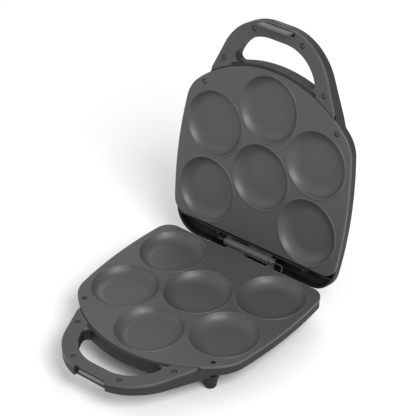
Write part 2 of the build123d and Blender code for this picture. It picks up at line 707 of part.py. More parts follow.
# ---------------------------------------------------------------- latch
def latch():
    """Pivoted clip in its engaged place on the shut lid; it is swung clear when placed."""
    face = PLATE_GAP
    tip = face - LATCH_DROP
    top = face + THUMB_HIGH - 0.6
    nib_y = LATCH_INNER_Y + HOOK_REACH
    clip = prism_x(
        [
            (LATCH_OUTER_Y, top), (LATCH_OUTER_Y, tip + 0.8), (LATCH_OUTER_Y + 0.8, tip),
            (LATCH_INNER_Y, tip),
            (LATCH_INNER_Y, -HOOK_LOW), (nib_y, -HOOK_TOP - 1.6), (nib_y, -HOOK_TOP - 0.3),
            (nib_y - 0.4, -HOOK_TOP), (LATCH_INNER_Y, -HOOK_TOP), (LATCH_INNER_Y, top),
        ],
        LATCH_HALF,
    )
    clip += bar_x(LATCH_BARREL_R, -LATCH_HALF, LATCH_HALF, LATCH_AXIS_Y, LATCH_AXIS_Z)
    pad = block(
        0.6 - THUMB_HALF, THUMB_HALF - 0.6, BOW_FRONT_Y - 0.3, LATCH_OUTER_Y + 1,
        face + THUMB_LOW + 0.6, face + THUMB_HIGH - 0.6,
    )
    clip += pad
    clip -= bar_x(LATCH_PIN_R + PIN_PLAY, -LATCH_HALF, LATCH_HALF, LATCH_AXIS_Y, LATCH_AXIS_Z)
    return clip


def latch_pin():
    reach = LATCH_HALF + LATCH_GAP + LUG_T
    return bar_x(LATCH_PIN_R, -reach, reach, LATCH_AXIS_Y, LATCH_AXIS_Z)


# ---------------------------------------------------------------- feet, gland and lamps
def foot_places():
    return [(side * FOOT_X, y) for y in (FOOT_FRONT_Y, FOOT_REAR_Y) for side in (-1, 1)]


def foot(x, y):
    height = FLOOR_DROP - FOOT_TOP_Z - FOOT_PAD_PROUD
    body = Cone(FOOT_END_R, FOOT_TOP_R, height, align=ON_END)
    body = fillet(body.edges().sort_by(Axis.Z)[0], FOOT_END_ROUND / 2)
    body = Pos(x, y, FOOT_PAD_PROUD - FLOOR_DROP) * body
    body -= column(x, y, FOOT_PAD_R, -FLOOR_DROP, FOOT_PAD_T - FLOOR_DROP)
    return body - column(x, y, SCREW_SHANK_R, -FOOT_TOP_Z + WALL - SCREW_LENGTH, -FOOT_TOP_Z)


def foot_pads():
    return [column(x, y, FOOT_PAD_R, -FLOOR_DROP, FOOT_PAD_T - FLOOR_DROP) for x, y in foot_places()]


def cord_gland():
    """Rubber bush at the cord's way in."""
    bush = bar_y(GLAND_R, GLAND_FRONT_Y - 4, GLAND_REAR_Y, GLAND_X, -GLAND_Z)
    bush += bar_y(GLAND_R + GLAND_WALL, GLAND_REAR_Y, GLAND_REAR_Y + GLAND_FLANGE_T, GLAND_X, -GLAND_Z)
    return bush - bar_y(GLAND_BORE_R, GLAND_FRONT_Y - 4, GLAND_REAR_Y + GLAND_FLANGE_T, GLAND_X, -GLAND_Z)


def lens(side):
    body = column(side * LENS_X, LENS_Y, LENS_FLANGE_R, -PANEL_Z - LENS_FLANGE_T, -PANEL_Z)
    body = fillet(body.edges().sort_by(Axis.Z)[0], LENS_FLANGE_T * 0.7)
    body += column(side * LENS_X, LENS_Y, LENS_R, -PANEL_Z, -PANEL_Z + 6)
    return to_lid(body - column(side * LENS_X, LENS_Y, LAMP_R, -PANEL_Z + 0.6, -PANEL_Z + 6))


def lamps():
    lamp = [column(s * LENS_X, LENS_Y, LAMP_R, -PANEL_Z + 0.6, -PANEL_Z + 0.6 + LAMP_L) for s in (-1, 1)]
    return [to_lid(part) for part in lamp]


# ---------------------------------------------------------------- assembly
def base_parts():
    wall_y = REAR_Y - RIM_INSET
    parts = {
        "base_housing": [base_housing()],
        "base_handle_cover": [base_handle_cover()],
        "base_plate": [cooking_plate()],
        "base_heater": [heater()],
        "base_heater_pins": heater_pins(),
        "base_heat_shield": [heat_shield()],
        "base_shield_screws": shield_screws(),
        "thermostat": [thermostat()],
        "thermal_fuse": [thermal_fuse()],
        "terminal_block": [terminal_block()],
        "base_lead": [base_lead()],
        "heater_links": heater_links(),
        "base_plate_screws": screws_at(PLATE_SCREWS, -COUNTERBORE_D),
        "base_handle_screws": screws_at(HANDLE_SCREWS, -COUNTERBORE_D),
        "base_hinge_bracket": [base_hinge_bracket()],
        "base_hinge_screws": hinge_screws(wall_y + FLANGE_T, base_flange_z()),
        "hinge_pin": [hinge_pin()],
        "cord_gland": [cord_gland()],
        "foot_pads": foot_pads(),
        "foot_screws": screws_at(foot_places(), WALL - FOOT_TOP_Z),
    }
    names = ("foot_front_left", "foot_front_right", "foot_rear_left", "foot_rear_right")
    for name, (x, y) in zip(names, foot_places()):
        parts[name] = [foot(x, y)]
    return parts


def lid_parts():
    return {
        "lid_housing": [lid_housing()],
        "lid_handle_cover": [lid_handle_cover()],
        "lid_plate": [to_lid(cooking_plate())],
        "lid_heater": [to_lid(heater())],
        "lid_heater_pins": [to_lid(pin) for pin in heater_pins()],
        "lid_heat_shield": [to_lid(heat_shield())],
        "lid_shield_screws": [to_lid(screw) for screw in shield_screws()],
        "lid_plate_screws": [to_lid(screw) for screw in screws_at(PLATE_SCREWS, -COUNTERBORE_D)],
        "lid_handle_screws": [to_lid(screw) for screw in screws_at(HANDLE_SCREWS, -COUNTERBORE_D)],
        "lid_hinge_bracket": [lid_hinge_bracket()],
        "lid_hinge_screws": hinge_screws(PARTITION_Y + WALL + FLANGE_T, 2 * HINGE_Z + FLANGE_LID_Z),
        "lid_lead": [lid_lead()],
        "latch_pin": [latch_pin()],
        "power_lens": [lens(-1)],
        "ready_lens": [lens(1)],
        "lamps": lamps(),
    }


def opened(shape):
    return shape.rotate(HINGE_AXIS, -LID_OPEN)


def main():
    placed = dict(base_parts())
    for name, shapes in lid_parts().items():
        placed[name] = [opened(shape) for shape in shapes]
    placed["latch"] = [opened(latch().rotate(LATCH_AXIS, -LATCH_SWING))]
    box = Compound(children=[Compound(shapes) for shapes in placed.values()]).bounding_box()
    home = Pos(-box.center().X, -box.center().Y, FLOOR_DROP)
    print("moved by", home.position)
    for name, shapes in placed.items():
        solids = [solid for shape in shapes for solid in (home * shape).solids()]
        export_step(Compound(solids) if len(solids) > 1 else solids[0], f"parts/{name}.step")
    print("hinge", home.position + Vector(0, HINGE_Y, HINGE_Z))


main()
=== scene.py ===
"""Looks of a hinged pancake maker: finishes, softened castings and mouldings, studio and camera."""

import json
import logging
import math
from dataclasses import dataclass, field
from enum import Enum

import bmesh
import bpy
from mathutils import Matrix, Vector


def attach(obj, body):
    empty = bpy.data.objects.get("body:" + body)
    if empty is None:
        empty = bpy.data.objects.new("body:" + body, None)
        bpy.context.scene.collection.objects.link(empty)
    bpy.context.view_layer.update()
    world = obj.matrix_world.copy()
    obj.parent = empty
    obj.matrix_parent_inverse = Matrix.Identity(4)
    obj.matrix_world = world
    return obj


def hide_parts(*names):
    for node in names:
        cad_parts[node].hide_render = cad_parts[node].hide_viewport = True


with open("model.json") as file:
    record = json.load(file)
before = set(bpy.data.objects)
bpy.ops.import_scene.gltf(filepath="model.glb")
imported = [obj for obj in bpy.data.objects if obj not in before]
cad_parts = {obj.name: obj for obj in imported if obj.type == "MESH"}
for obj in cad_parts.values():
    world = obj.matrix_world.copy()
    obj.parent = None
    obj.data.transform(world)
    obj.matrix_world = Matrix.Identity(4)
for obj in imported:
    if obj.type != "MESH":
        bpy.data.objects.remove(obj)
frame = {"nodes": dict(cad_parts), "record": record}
LOG = logging.getLogger("pancake_maker")
Colour = tuple[float, float, float]
Point = tuple[float, float, float]
Range = tuple[float, float]
MM = 0.001

MERGE_DISTANCE = 0.002 * MM       # corners of a CAD mesh nearer than this are one
FLAT_ANGLE = math.radians(0.3)    # faces that turn less than this are one flat
NORMAL_WEIGHT = 80                # how strongly large faces hold the normals

SPECK_BAND = (0.56, 0.72)         # noise that shows as a fleck
CLOUD_MIDDLE = 0.5                # the noise's mean, and the mask's
CLOUD_GAIN = 4.0                  # spreads the noise, which stays near its mean
CLOUD_CONTRAST = 0.5
LINE_STRETCH = (0.03, 1.0, 1.0)   # drawn lines run along X
EDGE_BAND = (0.995, 0.86)         # cosine of the turn, from flat to a full edge
PATCH_BAND = (0.4, 0.62)          # noise that breaks the rubbed edges up
PATCHINESS = 60.0
PAINTED_SHADE_BAND = (0.85, 0.3)         # openness, from free to closed in, mapped to the painted shade
RAY_SAMPLES = 6

FLECK_GAIN = 1.5                  # flecks are lighter than the colour by this
FLECK_LIFT = 0.01
SHADE_SHARE = 0.12                # how much colour a closed-in place keeps under the painted shade
POLISH = -0.18                    # rubbing lowers the roughness
BUMP_STRENGTH = 0.5


# ---------------------------------------------------------------- shader node groups
class EffectGroup:
    """A shader node group with named sockets that several finishes share."""

    def __init__(self, name: str) -> None:
        """Starts an empty group.

        Args:
            name: The group's name.
        """
        self.tree = bpy.data.node_groups.new(name, "ShaderNodeTree")
        self.inlet = self.tree.nodes.new("NodeGroupInput")
        self.outlet = self.tree.nodes.new("NodeGroupOutput")

    def takes(self, name: str, value: float, low: float = 0.0, high: float = 10000.0) -> None:
        """Adds a number input.

        Args:
            name: The socket's name.
            value: Its default.
            low: Its lowest value.
            high: Its highest value.
        """
        socket = self.tree.interface.new_socket(
            name=name, in_out="INPUT", socket_type="NodeSocketFloat"
        )
        socket.default_value = value
        socket.min_value = low
        socket.max_value = high

    def gives(self, name: str) -> None:
        """Adds a number output.

        Args:
            name: The socket's name.
        """
        self.tree.interface.new_socket(name=name, in_out="OUTPUT", socket_type="NodeSocketFloat")

    def add(self, kind: str, **settings: object) -> bpy.types.Node:
        """Adds a node.

        Args:
            kind: The node's type.
            settings: Properties to set on it.

        Returns:
            The new node.
        """
        node = self.tree.nodes.new(kind)
        for key, value in settings.items():
            setattr(node, key, value)
        return node

    def band(self, limits: Range) -> bpy.types.Node:
        """Adds a node that turns a band of values into 0 to 1.

        Args:
            limits: The values that give 0 and 1.

        Returns:
            The new node.
        """
        node = self.add("ShaderNodeMapRange")
        node.inputs["From Min"].default_value, node.inputs["From Max"].default_value = limits
        return node

    def join(self, source: bpy.types.NodeSocket, target: bpy.types.NodeSocket) -> None:
        """Links two sockets.

        Args:
            source: The output.
            target: The input.
        """
        self.tree.links.new(source, target)


class Effects:
    """The shared surface effects, each built once."""

    def __init__(self) -> None:
        """Builds every group."""
        self.grain = self._grain()
        self.clouding = self._clouding()
        self.drawn = self._drawn()
        self.wear = self._wear()
        self.painted_shade = self._painted_recess_shade()

    @staticmethod
    def _grain() -> bpy.types.NodeTree:
        """Fine all-over texture, as spark-eroded moulds and sprayed coatings leave.

        Returns:
            The group's tree.
        """
        group = EffectGroup("surface_grain")
        group.takes("Scale", 1500.0)
        group.takes("Pits", 0.3, 0.0, 1.0)
        group.gives("Height")
        group.gives("Speck")
        place = group.add("ShaderNodeTexCoord")
        noise = group.add("ShaderNodeTexNoise", noise_dimensions="3D")
        noise.inputs["Detail"].default_value = 3.0
        noise.inputs["Roughness"].default_value = 0.6
        cells = group.add("ShaderNodeTexVoronoi", feature="SMOOTH_F1")
        cells.inputs["Smoothness"].default_value = 0.6
        mix = group.add("ShaderNodeMix", data_type="FLOAT")
        speck = group.band(SPECK_BAND)
        for texture in (noise, cells):
            group.join(place.outputs["Object"], texture.inputs["Vector"])
            group.join(group.inlet.outputs["Scale"], texture.inputs["Scale"])
        group.join(group.inlet.outputs["Pits"], mix.inputs[0])
        group.join(noise.outputs["Fac"], mix.inputs[2])
        group.join(cells.outputs["Distance"], mix.inputs[3])
        group.join(noise.outputs["Fac"], speck.inputs["Value"])
        group.join(mix.outputs[0], group.outlet.inputs["Height"])
        group.join(speck.outputs["Result"], group.outlet.inputs["Speck"])
        return group.tree

    @staticmethod
    def _clouding() -> bpy.types.NodeTree:
        """Broad, faint unevenness from handling, heat and mould flow.

        Returns:
            The group's tree.
        """
        group = EffectGroup("handling_clouds")
        group.takes("Scale", 14.0)
        group.takes("Contrast", CLOUD_CONTRAST, 0.0, 1.0)
        group.gives("Amount")
        place = group.add("ShaderNodeTexCoord")
        broad = group.add("ShaderNodeTexNoise", noise_dimensions="3D")
        broad.inputs["Detail"].default_value = 5.0
        broad.inputs["Distortion"].default_value = 0.7
        centre = group.add("ShaderNodeMath", operation="SUBTRACT")
        centre.inputs[1].default_value = CLOUD_MIDDLE
        spread = group.add("ShaderNodeMath", operation="MULTIPLY")
        gain = group.add("ShaderNodeMath", operation="MULTIPLY")
        gain.inputs[1].default_value = CLOUD_GAIN
        lift = group.add("ShaderNodeMath", operation="ADD", use_clamp=True)
        lift.inputs[1].default_value = CLOUD_MIDDLE
        group.join(place.outputs["Object"], broad.inputs["Vector"])
        group.join(group.inlet.outputs["Scale"], broad.inputs["Scale"])
        group.join(broad.outputs["Fac"], centre.inputs[0])
        group.join(group.inlet.outputs["Contrast"], gain.inputs[0])
        group.join(centre.outputs[0], spread.inputs[0])
        group.join(gain.outputs[0], spread.inputs[1])
        group.join(spread.outputs[0], lift.inputs[0])
        group.join(lift.outputs[0], group.outlet.inputs["Amount"])
        return group.tree

    @staticmethod
    def _drawn() -> bpy.types.NodeTree:
        """Long fine lines along X, as rolling and drawing leave on metal.

        Returns:
            The group's tree.
        """
        group = EffectGroup("drawn_lines")
        group.takes("Scale", 900.0)
        group.gives("Height")
        place = group.add("ShaderNodeTexCoord")
        stretch = group.add("ShaderNodeMapping", vector_type="POINT")
        stretch.inputs["Scale"].default_value = LINE_STRETCH
        lines = group.add("ShaderNodeTexNoise", noise_dimensions="3D")
        lines.inputs["Detail"].default_value = 2.0
        group.join(place.outputs["Object"], stretch.inputs["Vector"])
        group.join(stretch.outputs["Vector"], lines.inputs["Vector"])
        group.join(group.inlet.outputs["Scale"], lines.inputs["Scale"])
        group.join(lines.outputs["Fac"], group.outlet.inputs["Height"])
        return group.tree

    @staticmethod
    def _wear() -> bpy.types.NodeTree:
        """Where edges have been rubbed: the surface's turn over a small radius, broken up.

        Returns:
            The group's tree.
        """
        group = EffectGroup("rubbed_edges")
        group.takes("Radius", 0.0012)
        group.takes("Patchiness", PATCHINESS)
        group.gives("Mask")
        rounded = group.add("ShaderNodeBevel", samples=RAY_SAMPLES)
        surface = group.add("ShaderNodeNewGeometry")
        turn = group.add("ShaderNodeVectorMath", operation="DOT_PRODUCT")
        edge = group.band(EDGE_BAND)
        place = group.add("ShaderNodeTexCoord")
        patches = group.add("ShaderNodeTexNoise", noise_dimensions="3D")
        patches.inputs["Detail"].default_value = 4.0
        cut = group.band(PATCH_BAND)
        both = group.add("ShaderNodeMath", operation="MULTIPLY", use_clamp=True)
        group.join(group.inlet.outputs["Radius"], rounded.inputs["Radius"])
        group.join(rounded.outputs["Normal"], turn.inputs[0])
        group.join(surface.outputs["True Normal"], turn.inputs[1])
        group.join(turn.outputs["Value"], edge.inputs["Value"])
        group.join(place.outputs["Object"], patches.inputs["Vector"])
        group.join(group.inlet.outputs["Patchiness"], patches.inputs["Scale"])
        group.join(patches.outputs["Fac"], cut.inputs["Value"])
        group.join(edge.outputs["Result"], both.inputs[0])
        group.join(cut.outputs["Result"], both.inputs[1])
        group.join(both.outputs[0], group.outlet.inputs["Mask"])
        return group.tree

    @staticmethod
    def _painted_recess_shade() -> bpy.types.NodeTree:
        """How closed in a surface is, for the painted shade that darkens slots, channels and
        recesses.

        Returns:
            The group's tree.
        """
        group = EffectGroup("painted_recess_shade")
        group.takes("Reach", 0.02)
        group.gives("Mask")
        around = group.add("ShaderNodeAmbientOcclusion", samples=RAY_SAMPLES)
        closed = group.band(PAINTED_SHADE_BAND)
        group.join(group.inlet.outputs["Reach"], around.inputs["Distance"])
        group.join(around.outputs["AO"], closed.inputs["Value"])
        group.join(closed.outputs["Result"], group.outlet.inputs["Mask"])
        return group.tree


# ---------------------------------------------------------------- finishes
class Texture(Enum):
    """What gives a finish its fine relief."""

    MOULDED = "surface_grain"
    DRAWN = "drawn_lines"


@dataclass(frozen=True)
class Finish:
    """One surface finish: its colours, painted shade, gloss, relief and wear."""

    slot: str
    colour: Colour
    cloud_colour: Colour
    worn_colour: Colour
    roughness: float
    roughness_spread: float
    relief: float
    texture: Texture = Texture.MOULDED
    texture_scale: float = 1500.0
    pits: float = 0.3
    speck: float = 0.12
    cloud_scale: float = 14.0
    wear_radius: float = 0.0012
    wear: float = 0.35
    # how strongly and how far out recesses get painted shade
    painted_shade: float = 0.6
    painted_shade_reach: float = 0.02
    metallic: float = 0.0
    specular: float = 0.5
    coat: float = 0.0
    coat_roughness: float = 0.2
    transmission: float = 0.0

    def material(self, effects: Effects) -> bpy.types.Material:
        """Builds the material.

        Args:
            effects: The shared groups.

        Returns:
            The new material.
        """
        material = bpy.data.materials.new(self.slot)
        material.use_nodes = True
        tree = material.node_tree
        shader = tree.nodes["Principled BSDF"]
        shader.inputs["Metallic"].default_value = self.metallic
        shader.inputs["Specular IOR Level"].default_value = self.specular
        shader.inputs["Coat Weight"].default_value = self.coat
        shader.inputs["Coat Roughness"].default_value = self.coat_roughness
        shader.inputs["Transmission Weight"].default_value = self.transmission
        clouding = {"Scale": self.cloud_scale, "Contrast": CLOUD_CONTRAST}
        clouds = self._group(tree, effects.clouding, clouding)
        rubbing = {"Radius": self.wear_radius, "Patchiness": PATCHINESS}
        wear = self._group(tree, effects.wear, rubbing)
        if self.texture is Texture.MOULDED:
            graining = {"Scale": self.texture_scale, "Pits": self.pits}
            relief = self._group(tree, effects.grain, graining)
        else:
            relief = self._group(tree, effects.drawn, {"Scale": self.texture_scale})
        base = self._blend(tree, self.colour, self.cloud_colour, clouds.outputs["Amount"])
        if self.texture is Texture.MOULDED:
            lighter = tuple(min(1.0, FLECK_GAIN * c + FLECK_LIFT) for c in self.colour)
            amount = self._scaled(tree, relief.outputs["Speck"], self.speck)
            base = self._blend(tree, base, lighter, amount)
        # painted shade: ambient occlusion darkens closed-in places towards a dark copy of the
        # colour
        closed = self._group(tree, effects.painted_shade, {"Reach": self.painted_shade_reach})
        shade = tuple(SHADE_SHARE * c for c in self.colour)
        shaded = self._scaled(tree, closed.outputs["Mask"], self.painted_shade)
        base = self._blend(tree, base, shade, shaded)
        rubbed = self._scaled(tree, wear.outputs["Mask"], self.wear)
        base = self._blend(tree, base, self.worn_colour, rubbed)
        tree.links.new(base, shader.inputs["Base Color"])
        gloss = tree.nodes.new("ShaderNodeMapRange")
        gloss.inputs["To Min"].default_value = self.roughness - self.roughness_spread
        gloss.inputs["To Max"].default_value = self.roughness + self.roughness_spread
        tree.links.new(clouds.outputs["Amount"], gloss.inputs["Value"])
        polished = tree.nodes.new("ShaderNodeMath")
        polished.operation = "MULTIPLY_ADD"
        polished.inputs[1].default_value = POLISH * self.wear
        tree.links.new(wear.outputs["Mask"], polished.inputs[0])
        tree.links.new(gloss.outputs["Result"], polished.inputs[2])
        tree.links.new(polished.outputs[0], shader.inputs["Roughness"])
        bump = tree.nodes.new("ShaderNodeBump")
        bump.inputs["Strength"].default_value = BUMP_STRENGTH
        bump.inputs["Distance"].default_value = self.relief
        tree.links.new(relief.outputs["Height"], bump.inputs["Height"])
        tree.links.new(bump.outputs["Normal"], shader.inputs["Normal"])
        return material

    @staticmethod
    def _group(
        tree: bpy.types.NodeTree, effect: bpy.types.NodeTree, values: dict[str, float]
    ) -> bpy.types.Node:
        """Places a shared group in a material.

        Args:
            tree: The material's nodes.
            effect: The group.
            values: What its inputs are set to.

        Returns:
            The group's node.
        """
        node = tree.nodes.new("ShaderNodeGroup")
        node.node_tree = effect
        for name, value in values.items():
            node.inputs[name].default_value = value
        return node

    @staticmethod
    def _scaled(
        tree: bpy.types.NodeTree, source: bpy.types.NodeSocket, amount: float
    ) -> bpy.types.NodeSocket:
        """Multiplies a mask.

        Args:
            tree: The material's nodes.
            source: The mask.
            amount: What it is multiplied by.

        Returns:
            The product's socket.
        """
        node = tree.nodes.new("ShaderNodeMath")
        node.operation = "MULTIPLY"
        node.inputs[1].default_value = amount
        tree.links.new(source, node.inputs[0])
        return node.outputs[0]

    @staticmethod
    def _blend(
        tree: bpy.types.NodeTree,
        under: Colour | bpy.types.NodeSocket,
        over: Colour,
        amount: bpy.types.NodeSocket,
    ) -> bpy.types.NodeSocket:
        """Mixes one colour over another.

        Args:
            tree: The material's nodes.
            under: A colour, or the socket that gives it.
            over: The colour laid over it.
            amount: The mask's socket.

        Returns:
            The mixed colour's socket.
        """
        node = tree.nodes.new("ShaderNodeMix")
        node.data_type = "RGBA"
        if isinstance(under, tuple):
            node.inputs[6].default_value = (*under, 1.0)
        else:
            tree.links.new(under, node.inputs[6])
        node.inputs[7].default_value = (*over, 1.0)
        tree.links.new(amount, node.inputs[0])
        return node.outputs[2]


FINISHES = (
    Finish(
        "housing_plastic", (0.019, 0.019, 0.021), (0.024, 0.024, 0.026), (0.06, 0.06, 0.064),
        roughness=0.56, roughness_spread=0.05, relief=0.00010, texture_scale=1300.0, specular=0.25,
        # strong, far-reaching painted shade blackens the hinge channel and the gaps
        painted_shade=0.95, painted_shade_reach=0.035,
    ),
    Finish(
        "cover_plastic", (0.05, 0.05, 0.052), (0.057, 0.057, 0.06), (0.1, 0.1, 0.105),
        roughness=0.5, roughness_spread=0.05, relief=0.00008, texture_scale=1300.0, specular=0.4,
    ),
    Finish(
        "latch_plastic", (0.07, 0.07, 0.073), (0.08, 0.08, 0.083), (0.14, 0.14, 0.145),
        roughness=0.42, roughness_spread=0.05, relief=0.00008, texture_scale=1300.0,
    ),
    Finish(
        "hinge_plastic", (0.055, 0.055, 0.058), (0.065, 0.065, 0.068), (0.13, 0.13, 0.135),
        roughness=0.4, roughness_spread=0.05, relief=0.00006, texture_scale=1600.0,
    ),
    Finish(
        "nonstick_coating", (0.05, 0.051, 0.053), (0.057, 0.058, 0.06), (0.11, 0.11, 0.11),
        roughness=0.46, roughness_spread=0.05, relief=0.00004, texture_scale=1900.0, pits=0.15,
        # painted shade darkens the wells' rims and recesses
        speck=0.1, cloud_scale=9.0, wear=0.6, coat=0.08, coat_roughness=0.38, painted_shade=0.85,
        painted_shade_reach=0.014,
    ),
    Finish(
        "screw_steel", (0.09, 0.09, 0.092), (0.07, 0.07, 0.073), (0.32, 0.32, 0.33),
        roughness=0.36, roughness_spread=0.06, relief=0.00003, texture=Texture.DRAWN,
        wear_radius=0.0004, metallic=0.75,
    ),
    Finish(
        "bright_steel", (0.56, 0.56, 0.57), (0.5, 0.5, 0.51), (0.8, 0.8, 0.8),
        roughness=0.27, roughness_spread=0.06, relief=0.00002, texture=Texture.DRAWN,
        wear_radius=0.0004, metallic=1.0,
    ),
    Finish(
        "heater_steel", (0.19, 0.18, 0.17), (0.14, 0.125, 0.115), (0.3, 0.29, 0.28),
        roughness=0.48, roughness_spread=0.08, relief=0.00005, metallic=0.85, texture_scale=1100.0,
    ),
    Finish(
        "shield_steel", (0.55, 0.55, 0.55), (0.48, 0.48, 0.49), (0.75, 0.75, 0.75),
        roughness=0.34, roughness_spread=0.07, relief=0.00004, texture=Texture.DRAWN, metallic=1.0,
    ),
    Finish(
        "white_insulator", (0.76, 0.75, 0.71), (0.68, 0.66, 0.61), (0.85, 0.84, 0.81),
        roughness=0.62, roughness_spread=0.06, relief=0.00006, texture_scale=900.0,
    ),
    Finish(
        "lead_sleeve", (0.016, 0.016, 0.017), (0.022, 0.022, 0.023), (0.05, 0.05, 0.05),
        roughness=0.6, roughness_spread=0.06, relief=0.00008, texture_scale=1000.0,
    ),
    # painted highlight: pale, slightly metallic finish for the lit ledge of the grip's notch
    Finish(
        "pale_ledge_highlight", (0.17, 0.17, 0.173), (0.15, 0.15, 0.153), (0.26, 0.26, 0.26),
        roughness=0.4, roughness_spread=0.05, relief=0.00003, texture=Texture.DRAWN,
        wear_radius=0.0004, metallic=0.3,
    ),
    Finish(
        "rubber", (0.026, 0.026, 0.027), (0.034, 0.034, 0.035), (0.07, 0.07, 0.07),
        roughness=0.72, roughness_spread=0.06, relief=0.00010, texture_scale=800.0,
    ),
    Finish(
        "red_lens", (0.5, 0.02, 0.015), (0.42, 0.016, 0.012), (0.6, 0.1, 0.09),
        roughness=0.14, roughness_spread=0.04, relief=0.00002, speck=0.0, coat=0.5,
        coat_roughness=0.06, transmission=0.35,
    ),
    Finish(
        "green_lens", (0.03, 0.34, 0.05), (0.025, 0.28, 0.04), (0.12, 0.45, 0.14),
        roughness=0.14, roughness_spread=0.04, relief=0.00002, speck=0.0, coat=0.5,
        coat_roughness=0.06, transmission=0.35,
    ),
    Finish(
        "lamp_glass", (0.9, 0.72, 0.62), (0.86, 0.68, 0.58), (0.92, 0.8, 0.72),
        roughness=0.08, roughness_spread=0.03, relief=0.00001, speck=0.0, transmission=0.8,
    ),
)


class FinishShelf:
    """Every material of the object, by the name of its finish."""

    def __init__(self) -> None:
        """Builds the materials."""
        effects = Effects()
        self.by_name = {finish.slot: finish.material(effects) for finish in FINISHES}
        self.slots = {row["node"]: row["material_slot"] for row in frame["record"]["subparts"]}

    def dress(self, piece: bpy.types.Object, finish: str) -> None:
        """Gives a piece one finish all over.

        Args:
            piece: The piece.
            finish: The finish's name.
        """
        mesh = piece.data
        if len(mesh.materials) == 0:
            mesh.materials.append(None)
        for index in range(len(piece.material_slots)):
            piece.material_slots[index].material = self.by_name[finish]


# ---------------------------------------------------------------- softened pieces
@dataclass
class Softening:
    """How one CAD piece's crisp edges are rounded."""

    node: str
    finish: str
    radius: float = 0.4 * MM
    segments: int = 3
    sharp_from: float = 40.0


@dataclass
class SubAssembly:
    """Pieces that go together: rounded shells, and inner pieces that keep their solids."""

    title: str
    body: str
    rounded: list[Softening] = field(default_factory=list)
    plain: list[str] = field(default_factory=list)

    def build(self, shelf: FinishShelf) -> None:
        """Makes and dresses every piece.

        Args:
            shelf: The materials.
        """
        for softening in self.rounded:
            piece = self._rounded_piece(softening)
            shelf.dress(piece, softening.finish)
            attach(piece, self.body)
            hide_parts(softening.node)
            LOG.info("%s: %s, %d faces", self.title, piece.name, len(piece.data.polygons))
        for name in self.plain:
            node = frame["nodes"][name]
            shelf.dress(node, shelf.slots[name])
            LOG.info("%s: %s keeps its solid", self.title, name)

    @staticmethod
    def _rounded_piece(softening: Softening) -> bpy.types.Object:
        """Copies a CAD piece, merged, with its crisp edges rounded.

        Args:
            softening: The piece and its radius.

        Returns:
            The new object.
        """
        form = bmesh.new()
        form.from_mesh(frame["nodes"][softening.node].data)
        bmesh.ops.remove_doubles(form, verts=form.verts, dist=MERGE_DISTANCE)
        bmesh.ops.dissolve_limit(
            form, angle_limit=FLAT_ANGLE, use_dissolve_boundaries=False,
            verts=form.verts, edges=form.edges, delimit={"NORMAL"},
        )
        limit = math.radians(softening.sharp_from)
        crisp = [
            edge for edge in form.edges
            if len(edge.link_faces) == 2 and edge.calc_face_angle() > limit
        ]
        if softening.radius > 0.0:
            bmesh.ops.bevel(
                form, geom=crisp, offset=softening.radius, offset_type="OFFSET",
                segments=softening.segments, profile=0.5, affect="EDGES", clamp_overlap=True,
                material=-1, loop_slide=True,
            )
        bmesh.ops.triangulate(form, faces=[face for face in form.faces if len(face.verts) > 4])
        for face in form.faces:
            face.smooth = True
        for edge in form.edges:
            faces = edge.link_faces
            edge.smooth = len(faces) == 2 and edge.calc_face_angle() < limit
        return new_object("shown_" + softening.node, form)


def new_object(name: str, form: bmesh.types.BMesh) -> bpy.types.Object:
    """Makes an object of a finished form, with area-weighted normals.

    Args:
        name: The object's name.
        form: The form, which is freed.

    Returns:
        The new object.
    """
    mesh = bpy.data.meshes.new(name)
    form.to_mesh(mesh)
    form.free()
    piece = bpy.data.objects.new(name, mesh)
    bpy.context.scene.collection.objects.link(piece)
    weighted = piece.modifiers.new("even_normals", "WEIGHTED_NORMAL")
    weighted.keep_sharp = True
    weighted.weight = NORMAL_WEIGHT
    return piece


@dataclass
class BaseCasing(SubAssembly):
    """Lower shell, its grip cover, feet and their pads, cord bush, and screws."""

    title: str = "base casing"
    body: str = "base"
    rounded: list[Softening] = field(
        default_factory=lambda: [
            Softening("base_housing", "housing_plastic"),
            Softening("base_handle_cover", "cover_plastic", 0.25 * MM),
            Softening("foot_front_left", "housing_plastic", 0.3 * MM),
            Softening("foot_front_right", "housing_plastic", 0.3 * MM),
            Softening("foot_rear_left", "housing_plastic", 0.3 * MM),
            Softening("foot_rear_right", "housing_plastic", 0.3 * MM),
            Softening("foot_pads", "rubber", 0.3 * MM),
            Softening("cord_gland", "rubber", 0.3 * MM),
            Softening("base_handle_screws", "screw_steel", 0.12 * MM),
            Softening("foot_screws", "screw_steel", 0.12 * MM),
        ]
    )


@dataclass
class LidCasing(SubAssembly):
    """Upper shell, its grip cover and screws, and the lamps with their lenses."""

    title: str = "lid casing"
    body: str = "lid"
    rounded: list[Softening] = field(
        default_factory=lambda: [
            Softening("lid_housing", "housing_plastic"),
            Softening("lid_handle_cover", "cover_plastic", 0.25 * MM),
            Softening("lid_handle_screws", "screw_steel", 0.12 * MM),
            Softening("power_lens", "red_lens", 0.3 * MM),
            Softening("ready_lens", "green_lens", 0.3 * MM),
        ]
    )
    plain: list[str] = field(default_factory=lambda: ["lamps"])


@dataclass
class LowerPlate(SubAssembly):
    """The base's cast plate and what is under it."""

    title: str = "lower plate"
    body: str = "base"
    rounded: list[Softening] = field(
        default_factory=lambda: [
            Softening("base_plate", "nonstick_coating", 0.3 * MM),
            Softening("base_plate_screws", "screw_steel", 0.12 * MM),
        ]
    )
    plain: list[str] = field(
        default_factory=lambda: [
            "base_heater", "base_heater_pins", "base_heat_shield", "base_shield_screws",
            "thermostat", "thermal_fuse", "terminal_block", "base_lead", "heater_links",
        ]
    )


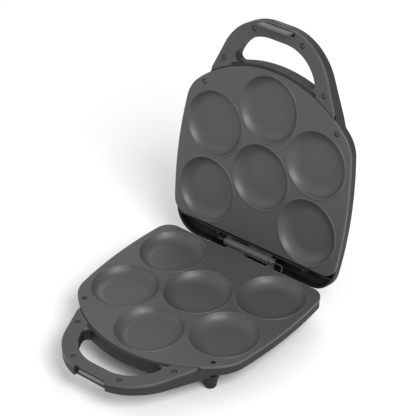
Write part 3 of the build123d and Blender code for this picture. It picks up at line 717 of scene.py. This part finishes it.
@dataclass
class UpperPlate(SubAssembly):
    """The lid's cast plate and what is behind it."""

    title: str = "upper plate"
    body: str = "lid"
    rounded: list[Softening] = field(
        default_factory=lambda: [
            Softening("lid_plate", "nonstick_coating", 0.3 * MM),
            Softening("lid_plate_screws", "screw_steel", 0.12 * MM),
        ]
    )
    plain: list[str] = field(
        default_factory=lambda: [
            "lid_heater", "lid_heater_pins", "lid_heat_shield", "lid_shield_screws", "lid_lead",
        ]
    )


@dataclass
class FixedHinge(SubAssembly):
    """Hinge half and pin that stay with the base."""

    title: str = "fixed hinge half"
    body: str = "base"
    rounded: list[Softening] = field(
        default_factory=lambda: [
            Softening("base_hinge_bracket", "hinge_plastic", 0.3 * MM),
            Softening("base_hinge_screws", "screw_steel", 0.12 * MM),
            Softening("hinge_pin", "bright_steel", 0.2 * MM),
        ]
    )


@dataclass
class MovingHinge(SubAssembly):
    """Hinge half that turns with the lid."""

    title: str = "moving hinge half"
    body: str = "lid"
    rounded: list[Softening] = field(
        default_factory=lambda: [
            Softening("lid_hinge_bracket", "hinge_plastic", 0.3 * MM),
            Softening("lid_hinge_screws", "screw_steel", 0.12 * MM),
        ]
    )


@dataclass
class LatchPin(SubAssembly):
    """The steel pin that the clip turns on."""

    title: str = "latch pin"
    body: str = "lid"
    rounded: list[Softening] = field(
        default_factory=lambda: [Softening("latch_pin", "bright_steel", 0.15 * MM)]
    )


@dataclass
class LatchClip(SubAssembly):
    """The clip in the nose of the lid's grip."""

    title: str = "latch clip"
    body: str = "latch"
    rounded: list[Softening] = field(
        default_factory=lambda: [Softening("latch", "latch_plastic", 0.35 * MM)]
    )


@dataclass
class LedgeHighlightStrip:
    """Pale strip on the sloping ledge under the base grip's notch, a painted highlight where the
    ledge catches the light.
    """

    node: str = "base_housing"
    half_width: float = 19.0 * MM
    high: Point = (0.0, -170.184 * MM, 38.0 * MM)
    low: Point = (0.0, -171.768 * MM, 34.5 * MM)
    thickness: float = 0.35 * MM
    corner: float = 0.15 * MM
    rim_angle: float = 1.0

    def build(self, shelf: FinishShelf) -> None:
        """Makes the strip and lays it on the ledge.

        Args:
            shelf: The materials.
        """
        high, low = Vector(self.high), Vector(self.low)
        fall = low - high
        outward = fall.cross(Vector((1.0, 0.0, 0.0))).normalized()
        if outward.y > 0.0:
            outward.negate()
        form = bmesh.new()
        bmesh.ops.create_grid(form, x_segments=8, y_segments=2, size=0.5)
        width = Matrix.Diagonal((2.0 * self.half_width, fall.length, 1.0, 1.0))
        sides = (Vector((1.0, 0.0, 0.0)), -fall.normalized(), outward)
        turned = Matrix(sides).transposed().to_4x4()
        bmesh.ops.transform(form, matrix=turned @ width, verts=form.verts)
        bmesh.ops.translate(form, verts=form.verts, vec=(high + low) / 2.0)
        top = bmesh.ops.extrude_face_region(form, geom=form.faces[:])
        raised = [item for item in top["geom"] if isinstance(item, bmesh.types.BMVert)]
        bmesh.ops.translate(form, verts=raised, vec=outward * self.thickness)
        bmesh.ops.recalc_face_normals(form, faces=form.faces)
        rims = [
            edge for edge in form.edges
            if len(edge.link_faces) == 2 and edge.calc_face_angle() > self.rim_angle
        ]
        bmesh.ops.bevel(
            form, geom=rims, offset=self.corner, offset_type="OFFSET", segments=2, profile=0.5,
            affect="EDGES", clamp_overlap=True, material=-1,
        )
        for face in form.faces:
            face.smooth = True
        # painted highlight: a pale sheet over the sloping ledge that catches the light
        piece = new_object("catch_highlight_strip", form)
        shelf.dress(piece, "pale_ledge_highlight")
        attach(piece, "base")
        LOG.info("catch strip: %d faces", len(piece.data.polygons))


@dataclass
class ChannelStuds:
    """Two steel screw studs in the hinge channel of the lid."""

    centres: tuple[Range, ...] = ((-53.0 * MM, 93.0 * MM), (73.0 * MM, 93.0 * MM))
    head_level: float = 6.2 * MM
    foot_level: float = 18.8 * MM
    head_radius: float = 2.2 * MM
    post_radius: float = 3.0 * MM
    dome: float = 1.1 * MM
    segments: int = 28
    axis_place: Range = (94.8 * MM, 0.8 * MM)
    sharp_angle: float = 0.6
    merge_distance: float = 0.01 * MM
    dome_steps: tuple[Range, ...] = ((0.0, 0.0), (0.5, 0.12), (0.85, 0.45), (1.0, 1.0), (1.0, 1.5))
    post_step: float = 1.6

    def _profile(self) -> list[Range]:
        """Gives the stud's outline, from the head's middle to the foot's middle.

        Returns:
            Pairs of radius and level.
        """
        head, post = self.head_level, self.post_radius
        dome = [(out * self.head_radius, head + down * self.dome) for out, down in self.dome_steps]
        return [
            *dome, (post, head + self.post_step * self.dome),
            (post, self.foot_level), (0.0, self.foot_level),
        ]

    def build(self, shelf: FinishShelf) -> None:
        """Spins each stud and stands it in the channel, with the lid as it is at rest.

        Args:
            shelf: The materials.
        """
        joints = frame["record"]["behaviour"]["joints"]
        hinge = next(row for row in joints if row["name"] == "lid_hinge")
        pivot, limit = Vector(hinge["pos_m"]), math.radians(max(hinge["range_deg"]))
        along, above = self.axis_place
        opened = (
            Matrix.Translation(pivot) @ Matrix.Rotation(-limit, 4, "X") @ Matrix.Translation(-pivot)
            @ Matrix.Translation((0.0, pivot.y - along, pivot.z - above))
        )
        form = bmesh.new()
        for x, y in self.centres:
            points = [form.verts.new((x + radius, y, level)) for radius, level in self._profile()]
            edges = [form.edges.new(pair) for pair in zip(points, points[1:])]
            bmesh.ops.spin(
                form, geom=points + edges, cent=(x, y, 0.0), axis=(0.0, 0.0, 1.0),
                angle=math.tau, steps=self.segments, use_merge=True, use_duplicate=False,
            )
        bmesh.ops.remove_doubles(form, verts=form.verts, dist=self.merge_distance)
        bmesh.ops.recalc_face_normals(form, faces=form.faces)
        bmesh.ops.transform(form, matrix=opened, verts=form.verts)
        for face in form.faces:
            face.smooth = True
        for edge in form.edges:
            edge.smooth = len(edge.link_faces) == 2 and edge.calc_face_angle() < self.sharp_angle
        piece = new_object("channel_studs", form)
        shelf.dress(piece, "screw_steel")
        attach(piece, "lid")
        LOG.info("channel studs: %d faces", len(piece.data.polygons))


# ---------------------------------------------------------------- studio
@dataclass(frozen=True)
class SoftBox:
    """One square soft light."""

    name: str
    place: Point
    target: Point
    side: float
    power: float

    def build(self) -> None:
        """Hangs the light."""
        data = bpy.data.lights.new(self.name, "AREA")
        data.shape = "SQUARE"
        data.size = self.side
        data.energy = self.power
        light = bpy.data.objects.new(self.name, data)
        bpy.context.scene.collection.objects.link(light)
        aim = Vector(self.target) - Vector(self.place)
        turned = aim.to_track_quat("-Z", "Y").to_matrix().to_4x4()
        light.matrix_world = Matrix.Translation(self.place) @ turned


@dataclass(frozen=True)
class Studio:
    """Pale floor, even surround, soft lights and the camera."""

    floor_half: float = 4.0
    floor_level: float = -0.0002
    floor_colour: Colour = (0.86, 0.86, 0.86)
    floor_roughness: float = 0.9
    floor_specular: float = 0.1
    surround: float = 0.62
    camera_place: Point = (1.1099, -1.270413, 1.3315)
    azimuth: float = 40.463
    elevation: float = 34.716
    roll: float = -1.874
    lens: float = 162.23
    sensor: float = 36.0
    lights: tuple[SoftBox, ...] = (
        SoftBox("key", (1.75, -0.75, 1.9), (0.0, 0.05, 0.12), 1.3, 64.0),
        SoftBox("fill", (-1.8, -1.2, 1.3), (0.0, 0.0, 0.1), 1.6, 7.0),
        SoftBox("rim", (-0.6, 1.9, 1.6), (0.0, 0.1, 0.2), 1.2, 12.0),
    )

    def build(self) -> None:
        """Sets up everything that isn't the object."""
        self._floor()
        self._surround()
        for light in self.lights:
            light.build()
        self._camera()

    def _floor(self) -> None:
        """Lays the floor."""
        form = bmesh.new()
        bmesh.ops.create_grid(form, x_segments=1, y_segments=1, size=self.floor_half)
        bmesh.ops.translate(form, verts=form.verts, vec=(0.0, 0.0, self.floor_level))
        mesh = bpy.data.meshes.new("floor")
        form.to_mesh(mesh)
        form.free()
        floor = bpy.data.objects.new("floor", mesh)
        bpy.context.scene.collection.objects.link(floor)
        material = bpy.data.materials.new("pale_floor")
        material.use_nodes = True
        shader = material.node_tree.nodes["Principled BSDF"]
        shader.inputs["Base Color"].default_value = (*self.floor_colour, 1.0)
        shader.inputs["Roughness"].default_value = self.floor_roughness
        shader.inputs["Specular IOR Level"].default_value = self.floor_specular
        mesh.materials.append(material)

    def _surround(self) -> None:
        """Lights the room evenly."""
        world = bpy.data.worlds.new("surround")
        world.use_nodes = True
        back = world.node_tree.nodes["Background"]
        back.inputs["Color"].default_value = (1.0, 1.0, 1.0, 1.0)
        back.inputs["Strength"].default_value = self.surround
        bpy.context.scene.world = world
        bpy.context.scene.view_settings.view_transform = "Standard"

    def _camera(self) -> None:
        """Places the camera."""
        turn, rise, lean = (math.radians(v) for v in (self.azimuth, self.elevation, self.roll))
        right = Vector((math.cos(turn), math.sin(turn), 0.0))
        ahead = Vector(
            (-math.sin(turn) * math.cos(rise), math.cos(turn) * math.cos(rise), -math.sin(rise))
        )
        up = right.cross(ahead)
        leaned_right = right * math.cos(lean) + up * math.sin(lean)
        leaned_up = up * math.cos(lean) - right * math.sin(lean)
        data = bpy.data.cameras.new("camera")
        data.lens = self.lens
        data.sensor_width = self.sensor
        camera = bpy.data.objects.new("camera", data)
        bpy.context.scene.collection.objects.link(camera)
        turned = Matrix((leaned_right, leaned_up, -ahead)).transposed().to_4x4()
        camera.matrix_world = Matrix.Translation(self.camera_place) @ turned
        bpy.context.scene.camera = camera


def main() -> None:
    """Builds the looks, sub-assembly by sub-assembly."""
    logging.basicConfig(level=logging.INFO, format="%(message)s")
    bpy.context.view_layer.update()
    shelf = FinishShelf()
    for assembly in (
        BaseCasing(), LidCasing(), LowerPlate(), UpperPlate(),
        FixedHinge(), MovingHinge(), LatchPin(), LatchClip(),
    ):
        assembly.build(shelf)
    LedgeHighlightStrip().build(shelf)
    ChannelStuds().build(shelf)
    Studio().build()


if __name__ == "__main__":
    main()
